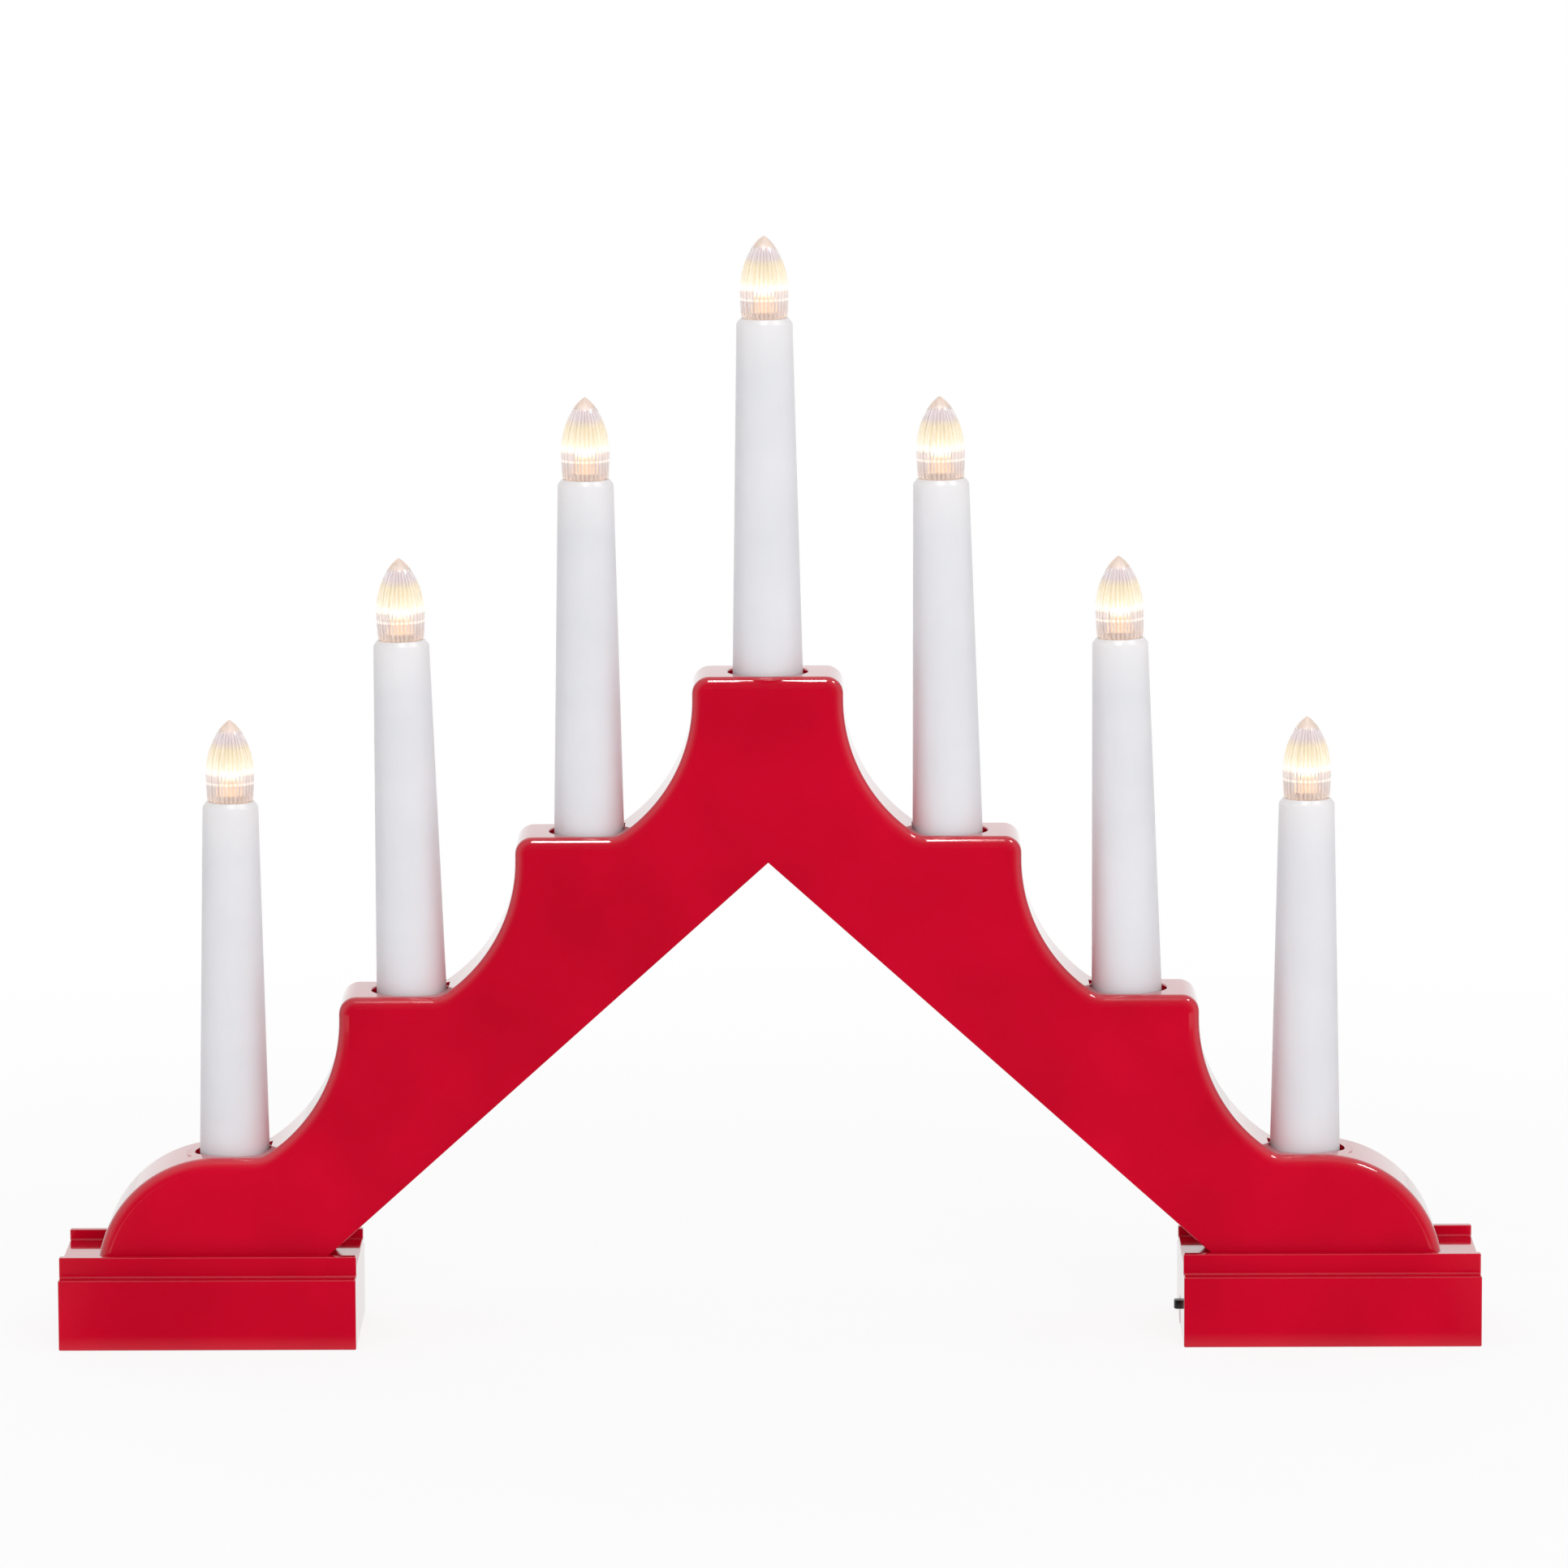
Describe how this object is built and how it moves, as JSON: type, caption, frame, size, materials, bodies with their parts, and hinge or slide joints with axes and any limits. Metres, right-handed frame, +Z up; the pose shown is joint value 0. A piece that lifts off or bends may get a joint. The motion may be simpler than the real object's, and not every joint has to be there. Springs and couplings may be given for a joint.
{
  "type": "advent candlestick",
  "caption": "Battery advent candlestick: glossy stair shaped arch on two box feet, carrying tapered electric candles with clear flame bulbs.",
  "frame": {"origin": "on the table, under the middle of the arch", "axes": "+X along the arch to the right foot with the switch, +Y away from the viewer, +Z up"},
  "size_m": [0.3, 0.0408, 0.2334],
  "materials": {
    "red_shell": "high gloss moulded",
    "candle_white": "satin moulded",
    "holder_white": "satin moulded",
    "lamp": "clear epoxy",
    "flame_clear": "clear, ribbed inside",
    "screw_steel": "zinc plated",
    "cell_jacket": "printed jacket",
    "contact_nickel": "nickel plated",
    "board_green": "solder mask",
    "resistor_tan": "lacquered",
    "switch_black": "satin moulded",
    "lead_red": "soft insulation",
    "lead_black": "soft insulation"
  },
  "bodies": {
    "candlestick": {"arch_shell": "red_shell", "underside_cover": "red_shell", "foot_housing_left": "red_shell", "compartment_cover_left": "red_shell", "foot_housing_right": "red_shell", "compartment_cover_right": "red_shell", "candle_tube_1": "candle_white", "candle_tube_2": "candle_white", "candle_tube_3": "candle_white", "candle_tube_4": "candle_white", "candle_tube_5": "candle_white", "candle_tube_6": "candle_white", "candle_tube_7": "candle_white", "lamp_holder_1": "holder_white", "lamp_holder_2": "holder_white", "lamp_holder_3": "holder_white", "lamp_holder_4": "holder_white", "lamp_holder_5": "holder_white", "lamp_holder_6": "holder_white", "lamp_holder_7": "holder_white", "led_1": "lamp", "led_2": "lamp", "led_3": "lamp", "led_4": "lamp", "led_5": "lamp", "led_6": "lamp", "led_7": "lamp", "cover_screw_1": "screw_steel", "cover_screw_2": "screw_steel", "cover_screw_3": "screw_steel", "cover_screw_4": "screw_steel", "leg_screw_1": "screw_steel", "leg_screw_2": "screw_steel", "leg_screw_3": "screw_steel", "leg_screw_4": "screw_steel", "battery_cell_front": "cell_jacket", "battery_cell_middle": "cell_jacket", "battery_cell_back": "cell_jacket", "contact_front_negative": "contact_nickel", "contact_outer_bridge": "contact_nickel", "contact_inner_bridge": "contact_nickel", "contact_back_positive": "contact_nickel", "circuit_board": "board_green", "resistor": "resistor_tan", "switch_body": "switch_black", "loom_positive": "lead_red", "lead_cell_positive": "lead_red", "lead_switch": "lead_red", "loom_negative": "lead_black", "lead_cell_negative": "lead_black"},
    "bulb_1": {"flame_bulb_1": "flame_clear"},
    "bulb_2": {"flame_bulb_2": "flame_clear"},
    "bulb_3": {"flame_bulb_3": "flame_clear"},
    "bulb_4": {"flame_bulb_4": "flame_clear"},
    "bulb_5": {"flame_bulb_5": "flame_clear"},
    "bulb_6": {"flame_bulb_6": "flame_clear"},
    "bulb_7": {"flame_bulb_7": "flame_clear"},
    "knob": {"switch_knob": "switch_black"},
    "lid_left": {"battery_lid_left": "red_shell"},
    "lid_right": {"battery_lid_right": "red_shell"}
  },
  "joints": [
    {"name": "bulb_1_pull", "type": "slide", "parent": "candlestick", "child": "bulb_1", "axis": [-0.0009, 0, 1], "range_m": [0, 0.014]},
    {"name": "bulb_2_pull", "type": "slide", "parent": "candlestick", "child": "bulb_2", "axis": [-0.0201, 0, 0.9998], "range_m": [0, 0.014]},
    {"name": "bulb_3_pull", "type": "slide", "parent": "candlestick", "child": "bulb_3", "axis": [-0.0035, 0, 1], "range_m": [0, 0.014]},
    {"name": "bulb_4_pull", "type": "slide", "parent": "candlestick", "child": "bulb_4", "axis": [-0.0052, 0, 1], "range_m": [0, 0.014]},
    {"name": "bulb_5_pull", "type": "slide", "parent": "candlestick", "child": "bulb_5", "axis": [-0.0169, 0, 0.9999], "range_m": [0, 0.014]},
    {"name": "bulb_6_pull", "type": "slide", "parent": "candlestick", "child": "bulb_6", "axis": [-0.0197, 0, 0.9998], "range_m": [0, 0.014]},
    {"name": "bulb_7_pull", "type": "slide", "parent": "candlestick", "child": "bulb_7", "axis": [0.0014, 0, 1], "range_m": [0, 0.014]},
    {"name": "switch_slide", "type": "slide", "parent": "candlestick", "child": "knob", "axis": [0, 0, -1], "range_m": [0, 0.0018]},
    {"name": "lid_left_slide", "type": "slide", "parent": "candlestick", "child": "lid_left", "axis": [-1, 0, 0], "range_m": [0, 0.05]},
    {"name": "lid_right_slide", "type": "slide", "parent": "candlestick", "child": "lid_right", "axis": [1, 0, 0], "range_m": [0, 0.05]}
  ]
}
